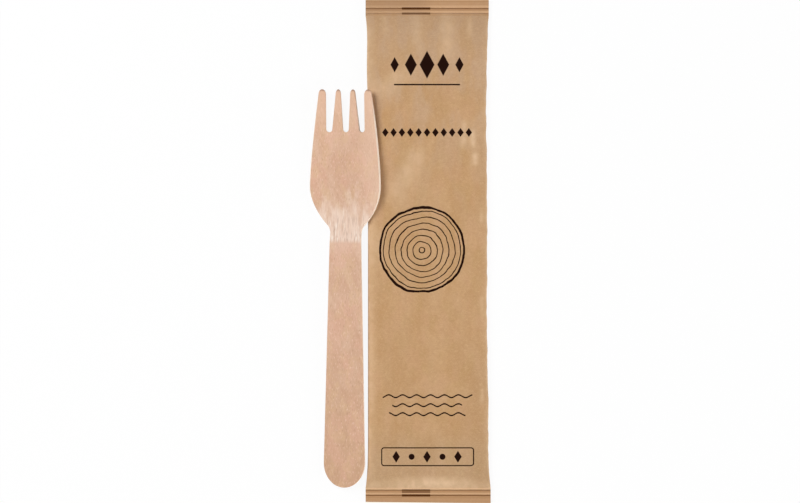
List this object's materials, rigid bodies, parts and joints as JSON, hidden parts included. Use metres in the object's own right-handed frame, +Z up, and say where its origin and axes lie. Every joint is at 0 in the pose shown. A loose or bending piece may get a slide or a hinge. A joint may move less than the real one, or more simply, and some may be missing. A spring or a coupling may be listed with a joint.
{
  "type": "wooden cutlery pack",
  "caption": "Sealed kraft paper flow-wrap with crimped ends and a back fin seal, lying flat, with a pressed veneer fork leaning on its left edge.",
  "frame": {"origin": "middle of the paper pack's underside, on the flat fin seal that it lies on", "axes": "+Z up, +Y along the pack towards the fork's tines, +X across the pack away from the fork"},
  "size_m": [0.0721, 0.201, 0.0083],
  "materials": {
    "kraft_paper": "matte kraft paper with a faint calendered sheen",
    "birch_veneer": "raw sanded birch veneer"
  },
  "bodies": {
    "root": {"paper_pack": "kraft_paper", "fork": "birch_veneer"}
  },
  "joints": []
}
